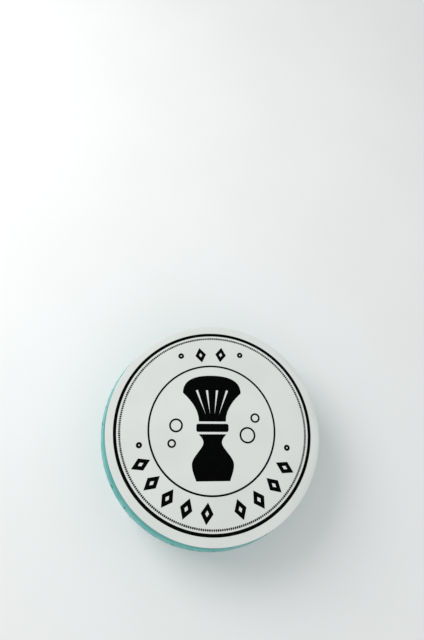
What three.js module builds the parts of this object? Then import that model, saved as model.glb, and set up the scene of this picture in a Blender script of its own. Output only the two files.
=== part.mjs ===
// A round cast puck of shaving soap with a printed paper label stuck on its face.
// Millimetres, +Z up. The origin is the centre of the flat base that the puck stands on.

import * as THREE from 'three';

// ---- Driving dimensions ----

const SOAP_HEIGHT = 24; // base to mould face
const SOAP_TOP_RADIUS = 37.9; // mould face, at the small end of the draft
const WALL_DRAFT = 1; // how much wider the wall is at the bottom
const EDGE_ROUND = 0.8; // rounding between the wall and the mould face
const FOOT_CHAMFER = 0.5; // how far the base face stops short of the wall
const FLASH = { reach: 0.5, low: 0.3, high: 0.7, root: 1.1 }; // thin lip round the poured edge

const LABEL_RADIUS = 37.9;
const LABEL_OFFSET = { x: 1.41, y: 1.12 }; // the label is stuck on slightly off-centre
const PRINT_OFFSET = { x: -0.31, y: 0.16 }; // the sheet was cut slightly off the print's centre
const ADHESIVE_INSET = 0.15; // the adhesive stops just short of the sheet's edge

// Thicknesses are binary fractions, so that stacked layers meet exactly.
const ADHESIVE_THICKNESS = 1 / 16;
const SHEET_THICKNESS = 3 / 16;
const INK_THICKNESS = 1 / 32;

// Concentric rings of the print, as shares of the label's radius.
const BORDER_RING = { outer: 0.9216, inner: 0.892 };
const INNER_RING = { outer: 0.597, inner: 0.5805 };
const BEAD_RING = { radius: 0.866, peak: 0.0095, valley: 0.0035, beads: 180 };

// Ornament band between the rings: three rows of lozenges, with ring dots at their ends.
// Clock angles run clockwise from the top of the label.
const LOZENGE_OPENING = 0.3; // a lozenge's open middle, as a share of its size
const LOZENGE_ROWS = {
  top: { count: 2, middle: 0, pitch: 16, radius: 26.8, length: 5.6, width: 4 },
  lower_right: { count: 4, middle: 142.8, pitch: 14.6, radius: 27.9, length: 6.9, width: 4.3 },
  lower_left: { count: 5, middle: -142.8, pitch: 14.6, radius: 27.9, length: 6.9, width: 4.3 },
};
const RING_DOT = { outer: 1.05, inner: 0.27 };
const RING_DOTS = {
  upper_right: { clock: 22.6, radius: 28.5 },
  lower_right: { clock: 106.9, radius: 26.6 },
  lower_left: { clock: -100.6, radius: 26.6 },
  upper_left: { clock: -22.6, radius: 28.5 },
};

// Shaving-brush emblem inside the inner ring, printed a little off-centre and turned. Widths are full widths.
const EMBLEM_OFFSET = { x: -0.67, y: -0.06 };
const EMBLEM_TURN = -2.1; // degrees
const KNOT = { top: 18.8, shoulder: 12.4, bottom: 2.3, width: 21, waist: 9.6 };
const BRISTLE_GAP = { count: 4, footSpread: 4.6, headSpread: 11, low: 4.6, high: 13.4, width: 0.8 };
const COLLAR = { top: 1.5, bottom: -1.3, width: 11.4, round: 0.7 };
const HANDLE = { top: -2.1, neck: -5.4, belly: -11.6, bottom: -17.6 };
const HANDLE_WIDTH = { top: 9.6, neck: 6.6, belly: 14.4, bottom: 11.6 };
const HANDLE_DIVISIONS = 24;
const BUBBLE_LINE = 0.62;
const BUBBLES = {
  right_large: { x: 12.4, y: -2.4, radius: 2.85 },
  right_small: { x: 15.4, y: 3.6, radius: 1.7 },
  left_large: { x: -12.8, y: 0.9, radius: 2.4 },
  left_small: { x: -14.2, y: -5.2, radius: 1.5 },
};

// Facets.
const SOAP_SEGMENTS = 96;
const LABEL_SEGMENTS = 128;
const RING_SEGMENTS = 128;
const DOT_SEGMENTS = 24;
const BUBBLE_SEGMENTS = 32;
const ARC_DIVISIONS = 4;
const CURVE_DIVISIONS = 12;

// ---- Finishes ----

const FINISHES = {
  soap: { color: 0x56b2a7, roughness: 0.45, metalness: 0 },
  adhesive: { color: 0xe4e2da, roughness: 0.6, metalness: 0 },
  paper: { color: 0xe6eae7, roughness: 0.5, metalness: 0 },
  ink: { color: 0x080a09, roughness: 0.55, metalness: 0 },
};

function addNode(parent, name, geometry, finish) {
  const mesh = new THREE.Mesh(geometry, new THREE.MeshStandardMaterial(FINISHES[finish]));
  mesh.name = name;
  parent.add(mesh);
  return mesh;
}

// ---- Geometry helpers ----

/** A solid of revolution about +Z from a profile of (radius, height) points. */
function revolve(profile, segments) {
  return new THREE.LatheGeometry(profile, segments).rotateX(Math.PI / 2);
}

/** A flat disc standing on its own origin. */
function disc(radius, thickness) {
  const profile = [
    new THREE.Vector2(0, 0),
    new THREE.Vector2(radius, 0),
    new THREE.Vector2(radius, thickness),
    new THREE.Vector2(0, thickness),
  ];
  return revolve(profile, LABEL_SEGMENTS);
}

/** A flat ring of ink of rectangular section. */
function inkRing(outer, inner, segments) {
  const profile = [
    new THREE.Vector2(inner, 0),
    new THREE.Vector2(outer, 0),
    new THREE.Vector2(outer, INK_THICKNESS),
    new THREE.Vector2(inner, INK_THICKNESS),
    new THREE.Vector2(inner, 0),
  ];
  return revolve(profile, segments);
}

/** A flat patch of ink with the outline of a shape. */
function inkPatch(shape) {
  return new THREE.ExtrudeGeometry(shape, {
    depth: INK_THICKNESS,
    bevelEnabled: false,
    curveSegments: CURVE_DIVISIONS,
  });
}

/** A closed outline, the same on both sides of the vertical axis, from its right-hand half, drawn upwards. */
function mirroredShape(rightHalf, divisions = CURVE_DIVISIONS) {
  const right = rightHalf.getPoints(divisions);
  const offAxis = right.filter((point) => Math.abs(point.x) > Number.EPSILON);
  const left = offAxis.map((point) => new THREE.Vector2(-point.x, point.y)).reverse();
  return new THREE.Shape([...right, ...left]);
}

// ---- Soap ----

function soapBody() {
  const wallBaseRadius = SOAP_TOP_RADIUS + WALL_DRAFT;
  const footRadius = wallBaseRadius - FOOT_CHAMFER;
  const flashRadius = wallBaseRadius + FLASH.reach;
  const draftAngle = Math.atan(WALL_DRAFT / SOAP_HEIGHT);

  const profile = new THREE.Path();
  profile.moveTo(0, 0);
  profile.lineTo(footRadius, 0);
  profile.lineTo(flashRadius, FLASH.low);
  profile.lineTo(flashRadius, FLASH.high);
  profile.lineTo(wallBaseRadius, FLASH.root);
  profile.absarc(SOAP_TOP_RADIUS - EDGE_ROUND, SOAP_HEIGHT - EDGE_ROUND, EDGE_ROUND, draftAngle, Math.PI / 2);
  profile.lineTo(0, SOAP_HEIGHT);
  return revolve(profile.getPoints(ARC_DIVISIONS), SOAP_SEGMENTS);
}

// ---- Rings of the print ----

function plainInkRing(ring) {
  return inkRing(ring.outer * LABEL_RADIUS, ring.inner * LABEL_RADIUS, RING_SEGMENTS);
}

/** Small beads run together into one ring, as a toothed band. */
function beadRing() {
  const edge = (side) => {
    const points = [];
    for (let i = 0; i < BEAD_RING.beads * 2; i += 1) {
      const angle = (Math.PI * i) / BEAD_RING.beads;
      const half = i % 2 ? BEAD_RING.valley : BEAD_RING.peak;
      const radius = (BEAD_RING.radius + side * half) * LABEL_RADIUS;
      points.push(new THREE.Vector2(radius * Math.cos(angle), radius * Math.sin(angle)));
    }
    return points;
  };
  const shape = new THREE.Shape(edge(1));
  shape.holes.push(new THREE.Path(edge(-1)));
  return inkPatch(shape);
}

// ---- Ornament band ----

/** Turns a mesh to stand upright at a clock angle and a radius on the band. */
function placeOnBand(mesh, clockDegrees, radius) {
  const clock = THREE.MathUtils.degToRad(clockDegrees);
  mesh.position.set(radius * Math.sin(clock), radius * Math.cos(clock), 0);
  mesh.rotation.z = -clock;
}

function lozengePoints(width, length) {
  return [
    new THREE.Vector2(width / 2, 0),
    new THREE.Vector2(0, length / 2),
    new THREE.Vector2(-width / 2, 0),
    new THREE.Vector2(0, -length / 2),
  ];
}

function openLozenge(width, length) {
  const shape = new THREE.Shape(lozengePoints(width, length));
  shape.holes.push(new THREE.Path(lozengePoints(width * LOZENGE_OPENING, length * LOZENGE_OPENING)));
  return inkPatch(shape);
}

function addLozenges(parent) {
  for (const [place, row] of Object.entries(LOZENGE_ROWS)) {
    for (let i = 0; i < row.count; i += 1) {
      const name = `print_${place}_lozenge_${i + 1}`;
      const lozenge = addNode(parent, name, openLozenge(row.width, row.length), 'ink');
      placeOnBand(lozenge, row.middle + (i - (row.count - 1) / 2) * row.pitch, row.radius);
    }
  }
}

function addRingDots(parent) {
  for (const [place, { clock, radius }] of Object.entries(RING_DOTS)) {
    const ring = inkRing(RING_DOT.outer, RING_DOT.inner, DOT_SEGMENTS);
    placeOnBand(addNode(parent, `print_ring_dot_${place}`, ring, 'ink'), clock, radius);
  }
}

// ---- Shaving-brush emblem ----

/** The bristles: a domed fan with narrow gaps of bare paper that open upwards. */
function brushKnot() {
  const half = new THREE.Path();
  half.moveTo(KNOT.waist / 2, KNOT.bottom);
  half.quadraticCurveTo(KNOT.waist / 2, (KNOT.bottom + KNOT.shoulder) / 2, KNOT.width / 2, KNOT.shoulder);
  half.quadraticCurveTo(KNOT.width / 2, KNOT.top, 0, KNOT.top);
  const shape = mirroredShape(half);

  for (let i = 0; i < BRISTLE_GAP.count; i += 1) {
    const side = (2 * i) / (BRISTLE_GAP.count - 1) - 1;
    const foot = new THREE.Vector2((side * BRISTLE_GAP.footSpread) / 2, BRISTLE_GAP.low);
    const head = new THREE.Vector2((side * BRISTLE_GAP.headSpread) / 2, BRISTLE_GAP.high);
    const across = head.clone().sub(foot).rotateAround(new THREE.Vector2(), Math.PI / 2);
    across.setLength(BRISTLE_GAP.width / 2);
    shape.holes.push(new THREE.Path([foot, head.clone().sub(across), head.clone().add(across)]));
  }
  return inkPatch(shape);
}

function brushCollar() {
  const { top, bottom, width, round } = COLLAR;
  const half = new THREE.Path();
  half.absarc(width / 2 - round, bottom + round, round, -Math.PI / 2, 0);
  half.absarc(width / 2 - round, top - round, round, 0, Math.PI / 2);
  return inkPatch(mirroredShape(half));
}

/** The handle: a turned outline with a narrow neck, a full belly and a flat foot. */
function brushHandle() {
  const halfWidth = (key) => HANDLE_WIDTH[key] / 2;
  const half = new THREE.SplineCurve([
    new THREE.Vector2(halfWidth('bottom'), HANDLE.bottom),
    new THREE.Vector2(halfWidth('belly'), HANDLE.belly),
    new THREE.Vector2(halfWidth('neck'), HANDLE.neck),
    new THREE.Vector2(halfWidth('top'), HANDLE.top),
  ]);
  return inkPatch(mirroredShape(half, HANDLE_DIVISIONS));
}

function addBubbles(parent) {
  for (const [place, bubble] of Object.entries(BUBBLES)) {
    const ring = inkRing(bubble.radius, bubble.radius - BUBBLE_LINE, BUBBLE_SEGMENTS);
    addNode(parent, `print_bubble_${place}`, ring, 'ink').position.set(bubble.x, bubble.y, 0);
  }
}

// ---- Assembly ----

function emblem() {
  const group = new THREE.Group();
  addNode(group, 'print_inner_ring', plainInkRing(INNER_RING), 'ink');
  addNode(group, 'print_brush_knot', brushKnot(), 'ink');
  addNode(group, 'print_brush_collar', brushCollar(), 'ink');
  addNode(group, 'print_brush_handle', brushHandle(), 'ink');
  addBubbles(group);
  return group;
}

function printedLayer() {
  const print = new THREE.Group();
  addNode(print, 'print_border_ring', plainInkRing(BORDER_RING), 'ink');
  addNode(print, 'print_bead_ring', beadRing(), 'ink');
  addRingDots(print);
  addLozenges(print);
  const middle = emblem();
  middle.position.set(EMBLEM_OFFSET.x, EMBLEM_OFFSET.y, 0);
  middle.rotation.z = THREE.MathUtils.degToRad(EMBLEM_TURN);
  print.add(middle);
  return print;
}

function label() {
  const sticker = new THREE.Group();
  addNode(sticker, 'label_adhesive', disc(LABEL_RADIUS - ADHESIVE_INSET, ADHESIVE_THICKNESS), 'adhesive');
  const sheet = addNode(sticker, 'label_sheet', disc(LABEL_RADIUS, SHEET_THICKNESS), 'paper');
  sheet.position.z = ADHESIVE_THICKNESS;
  const print = printedLayer();
  print.position.set(PRINT_OFFSET.x, PRINT_OFFSET.y, ADHESIVE_THICKNESS + SHEET_THICKNESS);
  sticker.add(print);
  return sticker;
}

const puck = new THREE.Group();
addNode(puck, 'soap_body', soapBody(), 'soap');
const sticker = label();
sticker.position.set(LABEL_OFFSET.x, LABEL_OFFSET.y, SOAP_HEIGHT);
puck.add(sticker);

export default puck;
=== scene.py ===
import math
import random

import bpy
from mathutils import Matrix, Vector, noise


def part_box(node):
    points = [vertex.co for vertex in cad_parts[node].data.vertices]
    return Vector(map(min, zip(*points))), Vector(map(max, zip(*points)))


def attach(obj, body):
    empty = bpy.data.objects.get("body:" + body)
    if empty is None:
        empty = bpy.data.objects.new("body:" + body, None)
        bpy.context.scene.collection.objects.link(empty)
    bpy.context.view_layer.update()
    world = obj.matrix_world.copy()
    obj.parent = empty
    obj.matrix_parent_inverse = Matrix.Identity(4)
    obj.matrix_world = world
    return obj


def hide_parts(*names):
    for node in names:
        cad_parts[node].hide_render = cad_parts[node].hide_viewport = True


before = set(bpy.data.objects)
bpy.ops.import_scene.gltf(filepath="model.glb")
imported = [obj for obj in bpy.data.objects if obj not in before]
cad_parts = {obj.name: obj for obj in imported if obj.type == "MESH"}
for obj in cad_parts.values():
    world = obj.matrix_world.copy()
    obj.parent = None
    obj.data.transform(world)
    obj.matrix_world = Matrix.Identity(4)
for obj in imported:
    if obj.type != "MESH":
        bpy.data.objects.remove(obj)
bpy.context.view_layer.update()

# A cast puck of teal shaving soap with a printed paper label. Everything is in metres and radians,
# apart from the tables that say otherwise.

MM = 0.001

# ---- Sizes and places from the frame ----

soap_low, soap_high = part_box("soap_body")
glue_low, glue_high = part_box("label_adhesive")
sheet_low, sheet_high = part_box("label_sheet")
border_low, border_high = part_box("print_border_ring")
bead_low, bead_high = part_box("print_bead_ring")
inner_low, inner_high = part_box("print_inner_ring")


def half_width(low, high):
    return (high.x - low.x) / 2


def middle_of(low, high):
    return (low + high) / 2


SOAP_TOP = soap_high.z
FLASH_RADIUS = half_width(soap_low, soap_high)
FLASH_REACH = 0.5 * MM
WALL_FOOT_RADIUS = FLASH_RADIUS - FLASH_REACH
WALL_DRAFT = 1.0 * MM
WALL_TOP_RADIUS = WALL_FOOT_RADIUS - WALL_DRAFT
EDGE_ROUND = 0.8 * MM
FLAT_RADIUS = WALL_TOP_RADIUS - EDGE_ROUND  # where the flat mould face ends
LABEL_CENTRE = middle_of(sheet_low, sheet_high)
LABEL_RADIUS = half_width(sheet_low, sheet_high)
INK_BASE = border_low.z
INK_TOP = border_high.z


# ---- Mesh helpers ----


def mesh_object(name, points, faces, smooth_angle=40):
    """A mesh object with smooth faces and sharp edges where faces meet at more than smooth_angle degrees."""
    mesh = bpy.data.meshes.new(name)
    mesh.from_pydata(points, [], faces)
    finish_mesh(mesh, smooth_angle)
    made = bpy.data.objects.new(name, mesh)
    bpy.context.scene.collection.objects.link(made)
    return made


def finish_mesh(mesh, smooth_angle):
    mesh.validate()
    mesh.update()
    mesh.shade_smooth()
    mesh.set_sharp_from_angle(angle=math.radians(smooth_angle))


def revolved(name, stations, segments, place, smooth_angle=40):
    """A closed body of rings, from one pole to the other. place(station, angle) gives each point."""
    points = [place(stations[0], 0)]
    for station in stations[1:-1]:
        points += [place(station, math.tau * i / segments) for i in range(segments)]
    points.append(place(stations[-1], 0))
    last = len(points) - 1

    faces = []
    for i in range(segments):
        j = (i + 1) % segments
        faces.append((0, 1 + i, 1 + j))
        for ring in range(len(stations) - 3):
            a = 1 + ring * segments
            b = a + segments
            faces.append((a + i, b + i, b + j, a + j))
        a = last - segments
        faces.append((a + i, last, a + j))
    return mesh_object(name, points, faces, smooth_angle)


def ring_body(name, centre, outline, low, high):
    """A flat ring. outline(angle) gives its outer and inner radius, at the angles that it lists."""
    points = []
    angles = outline.angles
    for angle in angles:
        outer, inner = outline(angle)
        across = Vector((math.cos(angle), math.sin(angle), 0))
        for radius, height in ((inner, low), (outer, low), (outer, high), (inner, high)):
            spot = centre + across * radius
            points.append((spot.x, spot.y, height))
    count = len(angles)
    faces = []
    for i in range(count):
        a = 4 * i
        b = 4 * ((i + 1) % count)
        for k in range(4):
            m = (k + 1) % 4
            faces.append((a + k, b + k, b + m, a + m))
    return mesh_object(name, points, faces, 30)


def wander(angle, scale, seed):
    """Smooth noise from -1 to 1 that closes on itself round the puck. A larger scale wanders faster."""
    return noise.noise(Vector((math.cos(angle) * scale, math.sin(angle) * scale, seed)))


def steps(start, end, count):
    """count values after start, the last of them end."""
    return [start + (end - start) * (i + 1) / count for i in range(count)]


# ---- Soap ----

SOAP_SEGMENTS = 768
FLASH_LOW = 0.3 * MM
FLASH_HIGH = 0.7 * MM
FLASH_ROOT = 1.1 * MM
FOOT_CHAMFER = 0.5 * MM
FOOT_WIDTH = 0.9 * MM  # the flat rim that the puck stands on
FOOT_RADIUS = WALL_FOOT_RADIUS - FOOT_CHAMFER
DISH_RADIUS = FOOT_RADIUS - FOOT_WIDTH
DISH_DEPTH = 0.5 * MM
DISH_RAMP = 4 * MM  # how far in from the rim the hollow takes to reach its depth
HOLLOW_SLOT = 1  # the material slot of the walls of the air holes and chips

# Bands of the cast surface where its rings of points are closer together.
FACE_BAND = 1.6 * MM  # in from the edge of the flat face
WALL_BAND = 3 * MM  # down from the rounded edge
LOW_BAND = 4 * MM  # up from the base

# The mould's and the pour's small faults: how far each moves the surface.
FACE_SINK = 0.03 * MM
EDGE_WEAR = 0.05 * MM
EDGE_SINK = 0.04 * MM
WALL_WAVES = 0.05 * MM
WALL_GRAIN = 0.03 * MM
FLASH_WAVES = 0.12 * MM
FLASH_CLEARANCE = 0.02 * MM  # the flash never comes closer to the ground than this

# Chips in the mould edge: angle round the puck in degrees, half length and half depth in millimetres.
EDGE_CHIPS = (
    (174, 0.55, 0.30),
    (206, 0.80, 0.32),
    (218, 0.45, 0.28),
    (231, 0.30, 0.20),
    (12, 0.50, 0.26),
    (41, 0.35, 0.22),
    (88, 0.70, 0.25),
    (131, 0.40, 0.26),
    (296, 0.60, 0.30),
    (333, 0.40, 0.22),
)
# Nubs left on the flash: angle, half width in degrees, and how much they thicken it in millimetres.
FLASH_NUBS = (
    (267, 0.9, 0.65),
    (186, 0.5, 0.30),
    (223, 0.6, 0.35),
    (281, 0.5, 0.45),
    (301, 0.7, 0.55),
    (324, 0.4, 0.40),
    (349, 0.6, 0.50),
    (12, 0.5, 0.40),
    (37, 0.8, 0.60),
    (71, 0.5, 0.45),
    (96, 0.6, 0.45),
    (118, 0.4, 0.40),
    (142, 0.8, 0.55),
)

# Where the flash has mostly been rubbed off: angle and half width in degrees, and the share gone.
TRIMMED_AT = 218
TRIMMED_HALF_WIDTH = 70
TRIMMED_SHARE = 0.75
LEAST_FLASH = 0.04  # share of the flash that is left everywhere

# Air holes: how many, then their smallest and largest size in millimetres.
EDGE_HOLES = (54, 0.15, 0.34)
UNDER_EDGE_HOLES = (44, 0.12, 0.3)
WALL_HOLES = (22, 0.1, 0.22)
BASE_HOLES = (34, 0.25, 0.7)
UNDER_EDGE_DEPTH = 1.8 * MM  # mean depth of the holes under the edge
HOLE_STRETCH = (0.85, 1.3)  # range of a hole's length to its width
HOLE_GAP = 0.08 * MM  # least gap between two holes
LOWEST_HOLE = 2 * MM  # above the base
WALL_HOLE_HEIGHTS = (LOWEST_HOLE, SOAP_TOP - 3 * MM)
BASE_HOLE_SPREAD = 0.96  # share of the hollow's radius that has holes
EDGE_HOLE_TURNS = (0.85, 1.5)  # range of places on the rounded edge, as in edge_place
CHIP_TURNS = (0.5, 1.1)
HOLE_SIDES = 8
HOLE_ROWS = 5


def degrees_between(angle, degrees):
    """How far an angle is from a place given in degrees, the short way round, in degrees."""
    return (math.degrees(angle) - degrees + 180) % 360 - 180


def nub(angle):
    """How much the nearest nub fills here, from 0 to 1, and its thickening."""
    best, lift = 0.0, 0.0
    for at, width, thick in FLASH_NUBS:
        fill = math.exp(-((degrees_between(angle, at) / width) ** 2))
        if fill > best:
            best, lift = fill, thick * fill * MM
    return best, lift


def flash_share(angle):
    """How far the ragged lip reaches out here, as a share of its full reach."""
    slow = wander(angle, 6, 3.1)
    torn = wander(angle, 38, 7.7)
    fine = wander(angle, 110, 1.3)
    off = degrees_between(angle, TRIMMED_AT)
    trimmed = TRIMMED_SHARE * math.exp(-((off / TRIMMED_HALF_WIDTH) ** 2))
    share = (0.42 + 0.42 * slow + 0.34 * torn + 0.22 * fine) * (1 - trimmed)
    return min(1.0, max(LEAST_FLASH, share, nub(angle)[0]))


class Station:
    """One ring of the soap: its radius and height, its share of the flash lip, and its region."""

    def __init__(self, radius, height, region, lip=0.0):
        self.radius = radius
        self.height = height
        self.region = region
        self.lip = lip


def wall_radius(height):
    """The drafted wall's radius at a height."""
    return WALL_FOOT_RADIUS + (WALL_TOP_RADIUS - WALL_FOOT_RADIUS) * height / SOAP_TOP


def edge_place(turn):
    """Radius and height on the rounded mould edge. turn is 0 at the flat face and pi / 2 at the wall."""
    radius = FLAT_RADIUS + EDGE_ROUND * math.sin(turn)
    height = SOAP_TOP - EDGE_ROUND * (1 - math.cos(turn))
    return radius, height


def soap_stations():
    """Rings from the middle of the mould face, over the edge and down the wall, to the middle of the base."""
    rings = [Station(0, SOAP_TOP, "face")]
    rings += [Station(r, SOAP_TOP, "face") for r in steps(0, FLAT_RADIUS - FACE_BAND, 6)]
    rings += [Station(r, SOAP_TOP, "face") for r in steps(FLAT_RADIUS - FACE_BAND, FLAT_RADIUS, 6)]
    rings += [Station(*edge_place(turn), "edge") for turn in steps(0, math.pi / 2, 8)]

    below_edge = SOAP_TOP - EDGE_ROUND
    heights = steps(below_edge, below_edge - WALL_BAND, 12)
    heights += steps(below_edge - WALL_BAND, LOW_BAND, 20)
    heights += steps(LOW_BAND, FLASH_ROOT, 10)
    rings += [Station(wall_radius(h), h, "wall") for h in heights]

    root = WALL_FOOT_RADIUS
    rings += [
        Station(root, (FLASH_ROOT + FLASH_HIGH) / 2, "flash", 0.35),
        Station(root, FLASH_HIGH, "flash", 0.85),
        Station(root, (FLASH_HIGH + FLASH_LOW) / 2, "flash", 1.0),
        Station(root, FLASH_LOW, "flash", 0.85),
        Station(root, FLASH_LOW / 2, "flash", 0.4),
        Station(root - 0.1 * MM, FLASH_LOW / 6, "flash"),
        Station(FOOT_RADIUS, 0, "foot"),
        Station((FOOT_RADIUS + DISH_RADIUS) / 2, 0, "foot"),
    ]
    rings += [Station(r, 0, "dish") for r in steps(DISH_RADIUS, 2 * MM, 26)]
    rings.append(Station(0, 0, "dish"))
    return rings


def soap_point(station, angle):
    """One point of the cast surface, with the mould's and the pour's small faults."""
    across = Vector((math.cos(angle), math.sin(angle), 0))
    radius, height = station.radius, station.height
    spot = across * radius + Vector((0, 0, height))

    if station.region == "face":
        low_spot = noise.noise(spot * 90) * 0.5 + 0.5
        height -= FACE_SINK * low_spot
    elif station.region == "edge":
        radius -= EDGE_WEAR * (1 + wander(angle, 22, height * 300))
        height -= EDGE_SINK * (1 + wander(angle, 14, 5.0))
    elif station.region == "wall":
        radius += WALL_WAVES * noise.noise(spot * 170) + WALL_GRAIN * noise.noise(spot * 900)
    elif station.region == "flash":
        fill, lift = nub(angle)
        radius += station.lip * FLASH_REACH * flash_share(angle)
        height += 0.5 * lift * fill * station.lip
        height += FLASH_WAVES * station.lip * wander(angle, 60, 9.9)
        height = max(height, FLASH_CLEARANCE)
    elif station.region == "dish":
        depth = min(1, (DISH_RADIUS - station.radius) / DISH_RAMP)
        depth = depth * depth * (3 - 2 * depth)
        ripple = noise.noise(spot * 110) + noise.noise(spot * 420) * 0.4
        height += DISH_DEPTH * depth * (0.72 + 0.5 * ripple)
    return across * radius + Vector((0, 0, height))


def ball_cutter(points, faces, centre, sizes, turn):
    """Adds a low-poly ball to a cutter mesh, stretched by sizes along (round the puck, outwards, up)."""
    start = len(points)
    points.append(centre + turn @ Vector((0, 0, sizes[2])))
    for row in range(1, HOLE_ROWS):
        tilt = math.pi * row / HOLE_ROWS
        for i in range(HOLE_SIDES):
            spin = math.tau * i / HOLE_SIDES
            local = Vector((
                sizes[0] * math.sin(tilt) * math.cos(spin),
                sizes[1] * math.sin(tilt) * math.sin(spin),
                sizes[2] * math.cos(tilt),
            ))
            points.append(centre + turn @ local)
    points.append(centre + turn @ Vector((0, 0, -sizes[2])))
    end = len(points) - 1
    for i in range(HOLE_SIDES):
        j = (i + 1) % HOLE_SIDES
        faces.append((start, start + 1 + i, start + 1 + j))
        for row in range(HOLE_ROWS - 2):
            a = start + 1 + row * HOLE_SIDES
            b = a + HOLE_SIDES
            faces.append((a + i, b + i, b + j, a + j))
        a = end - HOLE_SIDES
        faces.append((a + i, end, a + j))


def round_the_puck(angle):
    """Right-handed axes at an angle round the puck: round it clockwise, outwards, up."""
    return Matrix((
        (math.sin(angle), -math.cos(angle), 0),
        (math.cos(angle), math.sin(angle), 0),
        (0, 0, 1),
    )).transposed()


def pit_places(draw):
    """Air holes as (angle, radius, height, size), close together near the mould edge and rare elsewhere."""
    places = []

    def add(radius, height, sizes):
        angle = draw.uniform(0, math.tau)
        places.append((angle, radius, height, draw.uniform(*sizes) * MM))

    count, *sizes = EDGE_HOLES
    for _ in range(count):
        add(*edge_place(draw.uniform(*EDGE_HOLE_TURNS)), sizes)
    count, *sizes = UNDER_EDGE_HOLES
    for _ in range(count):
        height = SOAP_TOP - EDGE_ROUND - draw.expovariate(1 / UNDER_EDGE_DEPTH)
        height = max(height, LOWEST_HOLE)
        add(wall_radius(height), height, sizes)
    count, *sizes = WALL_HOLES
    for _ in range(count):
        height = draw.uniform(*WALL_HOLE_HEIGHTS)
        add(wall_radius(height), height, sizes)
    count, *sizes = BASE_HOLES
    for _ in range(count):
        add(DISH_RADIUS * math.sqrt(draw.random()) * BASE_HOLE_SPREAD, DISH_DEPTH, sizes)
    return places


def soap_cutters():
    """One mesh of all the air holes and chips, none touching another."""
    draw = random.Random(41)
    points, faces, kept = [], [], []

    def cut(angle, radius, height, sizes):
        centre = Vector((math.cos(angle) * radius, math.sin(angle) * radius, height))
        reach = max(sizes)
        if any((centre - other).length < reach + far + HOLE_GAP for other, far in kept):
            return
        kept.append((centre, reach))
        ball_cutter(points, faces, centre, sizes, round_the_puck(angle))

    for degrees, half_length, half_depth in EDGE_CHIPS:
        radius, height = edge_place(draw.uniform(*CHIP_TURNS))
        cut(math.radians(degrees), radius, height, (half_length * MM, half_depth * MM, half_depth * MM))
    for angle, radius, height, size in pit_places(draw):
        stretch = draw.uniform(*HOLE_STRETCH)
        cut(angle, radius, height, (size * stretch, size, size))
    return mesh_object("soap_cutters", points, faces)


def subtracted(target, cutter, smooth_angle):
    """Cuts one mesh from another for good, and removes the cutter."""
    step = target.modifiers.new("cut", "BOOLEAN")
    step.operation = "DIFFERENCE"
    step.solver = "EXACT"
    step.object = cutter
    seen = target.evaluated_get(bpy.context.evaluated_depsgraph_get())
    result = bpy.data.meshes.new_from_object(seen)
    target.modifiers.clear()
    target.data = result
    finish_mesh(result, smooth_angle)
    bpy.data.objects.remove(cutter)


def make_soap(material, hollow):
    """The cast puck, with its air holes and chips cut out. Their walls have the hollow material, painted
    darker as shade.
    """
    soap = revolved("soap_cast", soap_stations(), SOAP_SEGMENTS, soap_point)
    holes = soap_cutters()
    for piece in (soap, holes):
        piece.data.materials.append(material)
        piece.data.materials.append(hollow)
    for face in holes.data.polygons:
        face.material_index = HOLLOW_SLOT
    subtracted(soap, holes, 32)
    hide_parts("soap_body")
    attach(soap, "root")


# ---- Label ----

LABEL_SEGMENTS = 360
DROOP = 0.085 / MM  # how fast the sheet sinks past the flat of the soap, by distance squared
DROOP_LEAD = 0.1 * MM  # how far inside the flat's edge the sheet starts to sink
SHEET_EDGE = 0.04 * MM  # rounding of the sheet's rim
GLUE_EDGE = 0.015 * MM


def droop(x, y):
    """How far the label sinks where it hangs over the soap's edge."""
    past = math.hypot(x, y) - FLAT_RADIUS + DROOP_LEAD
    if past <= 0:
        return 0.0
    angle = math.atan2(y, x)
    return DROOP * past * past * (1 + 0.35 * wander(angle, 4, 2.2))


def layer(name, radius, low, high, edge):
    """A thin round layer of the label, which droops over the soap's edge. edge is its rim's rounding."""
    shares = [0, 0.3, 0.6, 0.8, 0.88, 0.92, 0.94, 0.955, 0.97, 0.98, 0.99]
    stations = [(share * radius, high) for share in shares]
    stations += [(radius - edge, high), (radius - 0.3 * edge, high - 0.3 * edge)]
    stations += [(radius, high - edge), (radius, low + edge)]
    stations += [(radius - 0.3 * edge, low + 0.3 * edge), (radius - edge, low)]
    stations += [(share * radius, low) for share in reversed(shares)]

    def place(station, angle):
        reach, height = station
        x = LABEL_CENTRE.x + reach * math.cos(angle)
        y = LABEL_CENTRE.y + reach * math.sin(angle)
        return Vector((x, y, height - droop(x, y)))

    return revolved(name, stations, LABEL_SEGMENTS, place, 60)


def make_label(paper, glue):
    """The paper sheet and the film of adhesive under it."""
    sheet = layer("label_paper", LABEL_RADIUS, sheet_low.z, sheet_high.z, SHEET_EDGE)
    sheet.data.materials.append(paper)
    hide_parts("label_sheet")
    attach(sheet, "root")

    film = layer("label_glue", half_width(glue_low, glue_high), glue_low.z, glue_high.z, GLUE_EDGE)
    film.data.materials.append(glue)
    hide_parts("label_adhesive")
    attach(film, "root")


# ---- Print ----

BORDER_WIDTH = 0.0295 * LABEL_RADIUS
INNER_LINE = 0.0175 * LABEL_RADIUS
BEADS = 290
BEAD_REACH = 0.42 * MM  # half a bead's size across the ring
BEAD_HALF_WIDTH = 0.29 * MM  # half a bead's size along the ring
BEAD_SIDES = 12
BEAD_TRACK = 0.36 * MM  # from the bead ring's outer edge in to its middle
BEAD_WANDER = 0.01  # millimetres that a bead may lie off its track
BEAD_SIZES = (0.93, 1.04)  # range of a bead's size, as a share
INK_BLEED = 0.012 * MM
INK_RAGGEDNESS = 70  # how fast the edges of a printed ring wander


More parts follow.
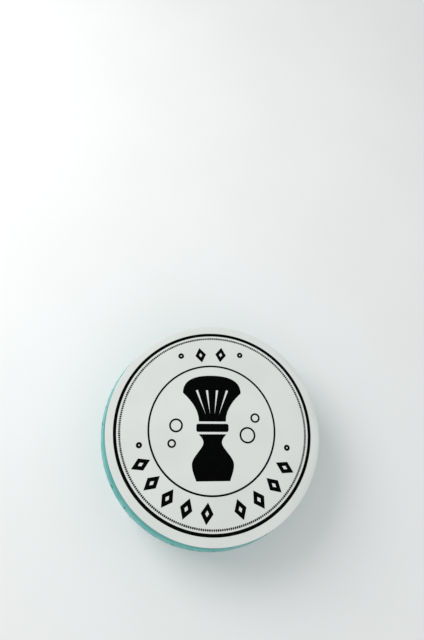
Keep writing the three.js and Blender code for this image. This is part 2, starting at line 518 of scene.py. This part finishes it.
class Outline:
    """Outer and inner radius of a printed ring, with the slight unevenness of its ink."""

    def __init__(self, outer, width, samples, seed):
        self.outer = outer
        self.inner = outer - width
        self.seed = seed
        self.angles = [math.tau * i / samples for i in range(samples)]

    def __call__(self, angle):
        outer = self.outer - INK_BLEED * (1 + wander(angle, INK_RAGGEDNESS, self.seed))
        inner = self.inner + INK_BLEED * (1 + wander(angle, INK_RAGGEDNESS, self.seed + 5))
        return outer, inner


def printed(piece, node, ink):
    """Gives a printed piece its ink, and puts it in the place of a node."""
    piece.data.materials.append(ink)
    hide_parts(node)
    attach(piece, "root")


def make_ring(name, node, box, width, samples, seed, ink):
    """A printed ring in the place of a node, whose box gives its middle and its outer radius."""
    outline = Outline(half_width(*box), width, samples, seed)
    printed(ring_body(name, middle_of(*box), outline, INK_BASE, INK_TOP), node, ink)


def add_bead(points, faces, centre, angle, size):
    """Adds one flat oval bead of ink, as a short prism, at an angle round the ring."""
    start = len(points)
    out = Vector((math.cos(angle), math.sin(angle), 0))
    along = Vector((-math.sin(angle), math.cos(angle), 0))
    for i in range(BEAD_SIDES):
        turn = math.tau * i / BEAD_SIDES
        spot = centre + (out * BEAD_REACH * math.cos(turn) + along * BEAD_HALF_WIDTH * math.sin(turn)) * size
        points += [(spot.x, spot.y, INK_BASE), (spot.x, spot.y, INK_TOP)]
    low = [start + 2 * i for i in range(BEAD_SIDES)]
    high = [k + 1 for k in low]
    faces += [tuple(reversed(low)), tuple(high)]
    for i in range(BEAD_SIDES):
        j = (i + 1) % BEAD_SIDES
        faces.append((low[i], low[j], high[j], high[i]))


def make_beads(ink):
    """The ring of separate small beads, each a little uneven."""
    draw = random.Random(9)
    track = half_width(bead_low, bead_high) - BEAD_TRACK
    centre = middle_of(bead_low, bead_high)
    points, faces = [], []
    for i in range(BEADS):
        angle = math.tau * i / BEADS
        radius = track + draw.uniform(-BEAD_WANDER, BEAD_WANDER) * MM
        spot = centre + Vector((math.cos(angle), math.sin(angle), 0)) * radius
        add_bead(points, faces, spot, angle, draw.uniform(*BEAD_SIZES))
    printed(mesh_object("ink_bead_ring", points, faces, 30), "print_bead_ring", ink)


def make_print(ink):
    """The three finer rings, and the ink of every other mark, which keeps its CAD shape."""
    border = (border_low, border_high)
    inner = (inner_low, inner_high)
    make_ring("ink_border_ring", "print_border_ring", border, BORDER_WIDTH, samples=512, seed=1.7, ink=ink)
    make_ring("ink_inner_ring", "print_inner_ring", inner, INNER_LINE, samples=384, seed=4.4, ink=ink)
    make_beads(ink)

    replaced = ("print_border_ring", "print_inner_ring", "print_bead_ring")
    for name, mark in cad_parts.items():
        if name.startswith("print_") and name not in replaced:
            for held in mark.material_slots:
                held.material = ink


# ---- Materials ----


class Shader:
    """A node material with a Principled surface, and short calls for the nodes that feed it."""

    def __init__(self, name):
        self.material = bpy.data.materials.new(name)
        self.material.use_nodes = True
        self.tree = self.material.node_tree
        self.surface = self.tree.nodes["Principled BSDF"]
        self.place = self.node("ShaderNodeTexCoord").outputs["Object"]

    def put(self, socket, value):
        """Links an input to another node's output, or sets its value."""
        if isinstance(value, bpy.types.NodeSocket):
            self.tree.links.new(value, socket)
        else:
            socket.default_value = value

    def node(self, kind, inputs=None, **settings):
        """A node with its inputs by name or number, and its settings."""
        made = self.tree.nodes.new(kind)
        for key, value in settings.items():
            setattr(made, key, value)
        for key, value in (inputs or {}).items():
            self.put(made.inputs[key], value)
        return made

    def set(self, **inputs):
        """Sets inputs of the surface itself, by their names with underscores for spaces."""
        for key, value in inputs.items():
            self.put(self.surface.inputs[key.replace("_", " ")], value)

    def noise(self, size, detail=3.0, distortion=0.0, rough=0.5):
        """Noise from 0 to 1 whose features are about size metres across."""
        inputs = {"Vector": self.place, "Scale": 1 / size, "Detail": detail}
        inputs.update({"Distortion": distortion, "Roughness": rough})
        return self.node("ShaderNodeTexNoise", inputs).outputs["Fac"]

    def streaks(self, size, stretch):
        """Noise from 0 to 1 drawn out upwards, as marks left by pulling the soap from its mould."""
        squeezed = self.node("ShaderNodeMapping", {"Vector": self.place, "Scale": (1, 1, 1 / stretch)})
        inputs = {"Vector": squeezed.outputs["Vector"], "Scale": 1 / size, "Detail": 3.0}
        return self.node("ShaderNodeTexNoise", inputs).outputs["Fac"]

    def specks(self, size, radius):
        """1 inside small round specks on a grid of cells of the given size, 0 outside."""
        cells = self.node("ShaderNodeTexVoronoi", {"Vector": self.place, "Scale": 1 / size})
        return self.ramp(cells.outputs["Distance"], radius, radius * 0.6)

    def ramp(self, value, low, high, to_low=0.0, to_high=1.0):
        """value mapped from low..high to to_low..to_high, smoothly and held at the ends."""
        inputs = {"Value": value, "From Min": low, "From Max": high}
        inputs.update({"To Min": to_low, "To Max": to_high})
        made = self.node("ShaderNodeMapRange", inputs, interpolation_type="SMOOTHSTEP")
        return made.outputs["Result"]

    def sum(self, a, b):
        made = self.node("ShaderNodeMath", {0: a, 1: b}, operation="ADD")
        return made.outputs[0]

    def times(self, a, b):
        made = self.node("ShaderNodeMath", {0: a, 1: b}, operation="MULTIPLY")
        return made.outputs[0]

    def mix(self, share, a, b):
        """Colour a with a share of colour b over it."""
        made = self.node("ShaderNodeMix", {0: share, 6: a, 7: b}, data_type="RGBA")
        return made.outputs[2]

    def bump(self, height, distance, strength=1.0, under=None):
        """A normal raised by a height from 0 to 1, on top of the normal under it."""
        inputs = {"Height": height, "Distance": distance, "Strength": strength}
        if under is not None:
            inputs["Normal"] = under
        return self.node("ShaderNodeBump", inputs).outputs["Normal"]

    def height_and_reach(self):
        """Height above the base, and distance from the axis."""
        split = self.node("ShaderNodeSeparateXYZ", {"Vector": self.place})
        flat = self.node("ShaderNodeCombineXYZ", {"X": split.outputs["X"], "Y": split.outputs["Y"]})
        length = self.node("ShaderNodeVectorMath", {0: flat.outputs[0]}, operation="LENGTH")
        return split.outputs["Z"], length.outputs["Value"]


def soap_material():
    """Teal cast glycerine soap: cloudy on its face, frosted on its wall, pale along the flash."""
    deep = (0.056, 0.30, 0.275, 1)
    teal = (0.124, 0.425, 0.392, 1)
    milky = (0.205, 0.53, 0.497, 1)
    # painted shade: the darker teal that the whole wall is mixed towards
    wall_shade_teal = (0.062, 0.29, 0.27, 1)
    frost = (0.34, 0.60, 0.61, 1)
    pale = (0.52, 0.75, 0.735, 1)

    s = Shader("soap_teal")
    height, reach = s.height_and_reach()
    on_top = s.ramp(height, SOAP_TOP - 0.6 * MM, SOAP_TOP - 0.1 * MM)
    on_base = s.times(s.ramp(height, 1.5 * MM, 0.9 * MM), s.ramp(reach, FOOT_RADIUS, FOOT_RADIUS - 0.8 * MM))
    off_base = s.ramp(on_base, 1, 0)
    on_wall = s.times(s.ramp(height, SOAP_TOP - 0.3 * MM, SOAP_TOP - 2.2 * MM), off_base)
    open_face = s.sum(on_top, on_base)
    grain = s.noise(0.35 * MM, 4, 0.2, 0.65)

    # The cast body: slow changes of tone, with milky clouds on both faces.
    colour = s.mix(s.ramp(s.noise(40 * MM, 1.5), 0.3, 0.7, 0, 0.4), teal, deep)
    clouds = s.ramp(s.noise(24 * MM, 2, 0.8), 0.36, 0.68, 0, 0.4)
    colour = s.mix(s.times(clouds, open_face), colour, milky)
    veils = s.ramp(s.noise(13 * MM, 1, 1.8), 0.5, 0.6, 0, 0.18)
    colour = s.mix(s.times(veils, open_face), colour, milky)
    froth = s.times(s.specks(1.4 * MM, 0.12), s.ramp(s.noise(8 * MM, 2), 0.46, 0.6))
    colour = s.mix(s.times(froth, s.times(on_base, 0.35)), colour, frost)

    # The wall: darkened all over towards a dull teal as painted shade, clear of frost just under the edge,
    # with a fine frost that gathers lower down.
    colour = s.mix(s.times(on_wall, 0.7), colour, wall_shade_teal)
    drawn = s.streaks(3.2 * MM, 14)
    colour = s.mix(s.times(on_wall, s.ramp(drawn, 0.38, 0.66, 0, 0.4)), colour, teal)
    lower = s.ramp(height, SOAP_TOP - 2.5 * MM, SOAP_TOP - 9 * MM, 0.1, 1)
    gathered = s.ramp(s.noise(11 * MM, 3, 0.4), 0.35, 0.68, 0.2, 0.8)
    frosty = s.times(s.ramp(grain, 0.45, 0.7), s.times(s.times(on_wall, lower), gathered))
    colour = s.mix(frosty, colour, frost)
    colour = s.mix(s.times(s.ramp(grain, 0.46, 0.3), 0.2), colour, deep)
    rare = s.ramp(s.noise(6 * MM, 2), 0.48, 0.62)
    colour = s.mix(s.times(s.specks(1.1 * MM, 0.16), s.times(rare, 0.5)), colour, frost)

    # The flash, torn and pale, and a painted highlight along the rounded mould edge.
    near_flash = s.ramp(height, FLASH_ROOT + 0.05 * MM, FLASH_HIGH)
    out_there = s.ramp(reach, WALL_FOOT_RADIUS - 0.5 * MM, WALL_FOOT_RADIUS + 0.1 * MM)
    torn = s.ramp(s.noise(1.4 * MM, 3, 0.5), 0.3, 0.62, 0.35, 0.9)
    colour = s.mix(s.times(torn, s.times(near_flash, out_there)), colour, pale)
    near_top = s.ramp(height, SOAP_TOP - 1.3 * MM, SOAP_TOP - 0.4 * MM)
    at_edge = s.times(near_top, s.ramp(reach, FLAT_RADIUS - 0.2 * MM, FLAT_RADIUS + 0.2 * MM))
    # painted highlight: the rounded edge is lightened towards frost where light would catch it
    edge_highlight = s.ramp(s.noise(2.2 * MM, 3, 0.4), 0.4, 0.64, 0.2, 0.5)
    colour = s.mix(s.times(at_edge, edge_highlight), colour, frost)

    rough = s.sum(s.ramp(s.noise(3 * MM, 4), 0.3, 0.7, 0.3, 0.42), s.times(on_wall, 0.2))
    coarse = s.bump(s.noise(2.4 * MM, 3, 0.3), 0.12 * MM, 0.5)
    drawn_out = s.bump(drawn, 0.10 * MM, s.times(on_wall, 0.5), coarse)
    poured = s.bump(s.noise(7 * MM, 3, 1.6), 0.8 * MM, s.times(on_base, 0.7), drawn_out)
    fine = s.bump(grain, 0.05 * MM, s.sum(s.times(on_wall, 0.55), 0.2), poured)
    s.set(Base_Color=colour, Roughness=rough, Normal=fine, IOR=1.47)
    s.set(Subsurface_Weight=0.45, Subsurface_Radius=(0.45, 1.0, 0.95), Subsurface_Scale=2.4 * MM)
    s.set(Sheen_Weight=0.22, Sheen_Roughness=0.45, Sheen_Tint=(0.86, 0.97, 1.0, 1))
    return s.material


def hollow_shade_material():
    """The walls of the air holes and chips: the same soap, painted darker as shade in the hollows."""
    # painted shade: both tones are darker than the soap, standing in for shade inside the holes and chips
    dark = (0.034, 0.225, 0.205, 1)
    lit = (0.060, 0.30, 0.272, 1)

    s = Shader("soap_hollow_painted_shade")
    colour = s.mix(s.ramp(s.noise(0.4 * MM, 3), 0.35, 0.65), dark, lit)
    rough = s.ramp(s.noise(0.6 * MM, 2), 0.3, 0.7, 0.4, 0.6)
    normal = s.bump(s.noise(0.2 * MM, 3), 0.02 * MM, 0.5)
    s.set(Base_Color=colour, Roughness=rough, Normal=normal, IOR=1.47)
    return s.material


def paper_material():
    """Smooth coated white label paper with faint fibres and a few specks."""
    white = (0.80, 0.825, 0.805, 1)
    warm = (0.77, 0.785, 0.755, 1)
    dust = (0.42, 0.40, 0.37, 1)

    s = Shader("label_white_paper")
    colour = s.mix(s.ramp(s.noise(18 * MM, 3), 0.35, 0.65), white, warm)
    fibre = s.noise(0.3 * MM, 5, 2.2, 0.7)
    colour = s.mix(s.ramp(fibre, 0.35, 0.65, 0, 0.25), colour, warm)
    rare = s.ramp(s.noise(4 * MM, 2), 0.56, 0.6)
    colour = s.mix(s.times(s.specks(3.4 * MM, 0.055), s.times(rare, 0.7)), colour, dust)
    rough = s.ramp(s.noise(2 * MM, 4), 0.3, 0.7, 0.42, 0.55)
    normal = s.bump(fibre, 0.012 * MM, 0.5, s.bump(s.noise(7 * MM, 2), 0.06 * MM, 0.35))
    s.set(Base_Color=colour, Roughness=rough, Normal=normal, Specular_IOR_Level=0.35)
    return s.material


def ink_material():
    """Matt black print, very slightly thin in places."""
    black = (0.0008, 0.0011, 0.0009, 1)
    thin = (0.0030, 0.0034, 0.0031, 1)

    s = Shader("print_black_ink")
    colour = s.mix(s.ramp(s.noise(0.5 * MM, 4, 0.4, 0.6), 0.45, 0.75), black, thin)
    rough = s.ramp(s.noise(1.2 * MM, 3), 0.3, 0.7, 0.5, 0.68)
    normal = s.bump(s.noise(0.25 * MM, 4), 0.01 * MM, 0.4)
    s.set(Base_Color=colour, Roughness=rough, Normal=normal, Specular_IOR_Level=0.02)
    return s.material


def glue_material():
    """Milky adhesive film with small bubbles."""
    film = (0.66, 0.66, 0.60, 1)
    bubble = (0.48, 0.56, 0.52, 1)

    s = Shader("label_glue_film")
    colour = s.mix(s.ramp(s.noise(1.6 * MM, 3, 0.5), 0.4, 0.65), film, bubble)
    rough = s.ramp(s.noise(1 * MM, 2), 0.3, 0.7, 0.28, 0.5)
    normal = s.bump(s.noise(0.6 * MM, 3), 0.02 * MM, 0.5)
    s.set(Base_Color=colour, Roughness=rough, Normal=normal)
    return s.material


def floor_material():
    """Plain pale table top."""
    pale = (0.95, 0.95, 0.945, 1)
    paler = (0.97, 0.97, 0.97, 1)

    s = Shader("floor_pale")
    colour = s.mix(s.ramp(s.noise(60 * MM, 2), 0.3, 0.7), pale, paler)
    s.set(Base_Color=colour, Roughness=0.9, Specular_IOR_Level=0.1)
    return s.material


# ---- Stage, lights and camera ----

FLOOR_HALF_SIZE = 4.0
ROOM_COLOUR = (0.97, 1.0, 1.0, 1)
ROOM_STRENGTH = 0.58


def make_floor():
    """A wide flat floor, so that its edge stays out of the picture."""
    half = FLOOR_HALF_SIZE
    corners = [(-half, -half, 0), (half, -half, 0), (half, half, 0), (-half, half, 0)]
    floor = mesh_object("floor", corners, [(0, 1, 2, 3)])
    floor.data.materials.append(floor_material())


def area_light(name, place, size, watts):
    """A square soft light aimed at the puck."""
    lamp = bpy.data.lights.new(name, "AREA")
    lamp.shape = "SQUARE"
    lamp.size = size
    lamp.energy = watts
    made = bpy.data.objects.new(name, lamp)
    made.location = place
    made.rotation_mode = "QUATERNION"
    made.rotation_quaternion = (LABEL_CENTRE - Vector(place)).to_track_quat("-Z", "Y")
    bpy.context.scene.collection.objects.link(made)


def make_lights():
    """Even light from all round, with a key light at the upper left of the picture and a weak fill."""
    world = bpy.data.worlds.new("soft_room")
    world.use_nodes = True
    room = world.node_tree.nodes["Background"]
    room.inputs["Color"].default_value = ROOM_COLOUR
    room.inputs["Strength"].default_value = ROOM_STRENGTH
    bpy.context.scene.world = world
    area_light("key_upper_left", (-0.26, 0.20, 0.30), size=0.25, watts=0.9)
    area_light("fill_front", (0.25, -0.5, 0.45), size=0.5, watts=0.2)


CAMERA_FROM_LABEL = Vector((-0.639, -0.539, 4.284))  # in label radii
CAMERA_FORWARD = Vector((0.14332, 0.34837, -0.92634))
CAMERA_UP = Vector((0.0, 0.936, 0.352))
SENSOR_WIDTH = 36  # millimetres
CAMERA_LENS = 25.8  # millimetres, as a phone's main camera on a sensor of this width


def make_camera():
    """The photograph's viewing angle, from nearly above the label."""
    data = bpy.data.cameras.new("camera")
    data.lens = CAMERA_LENS
    data.sensor_width = SENSOR_WIDTH
    data.clip_start = 0.005
    camera = bpy.data.objects.new("camera", data)
    forward = CAMERA_FORWARD.normalized()
    right = forward.cross(CAMERA_UP).normalized()
    up = right.cross(forward)
    turn = Matrix((right, up, -forward)).transposed().to_4x4()
    label_top = Vector((LABEL_CENTRE.x, LABEL_CENTRE.y, sheet_high.z))
    camera.matrix_world = Matrix.Translation(label_top + CAMERA_FROM_LABEL * LABEL_RADIUS) @ turn
    bpy.context.scene.collection.objects.link(camera)
    bpy.context.scene.camera = camera


# ---- The model ----

make_soap(soap_material(), hollow_shade_material())
make_label(paper_material(), glue_material())
make_print(ink_material())
make_floor()
make_lights()
make_camera()
bpy.context.scene.view_settings.view_transform = "Standard"
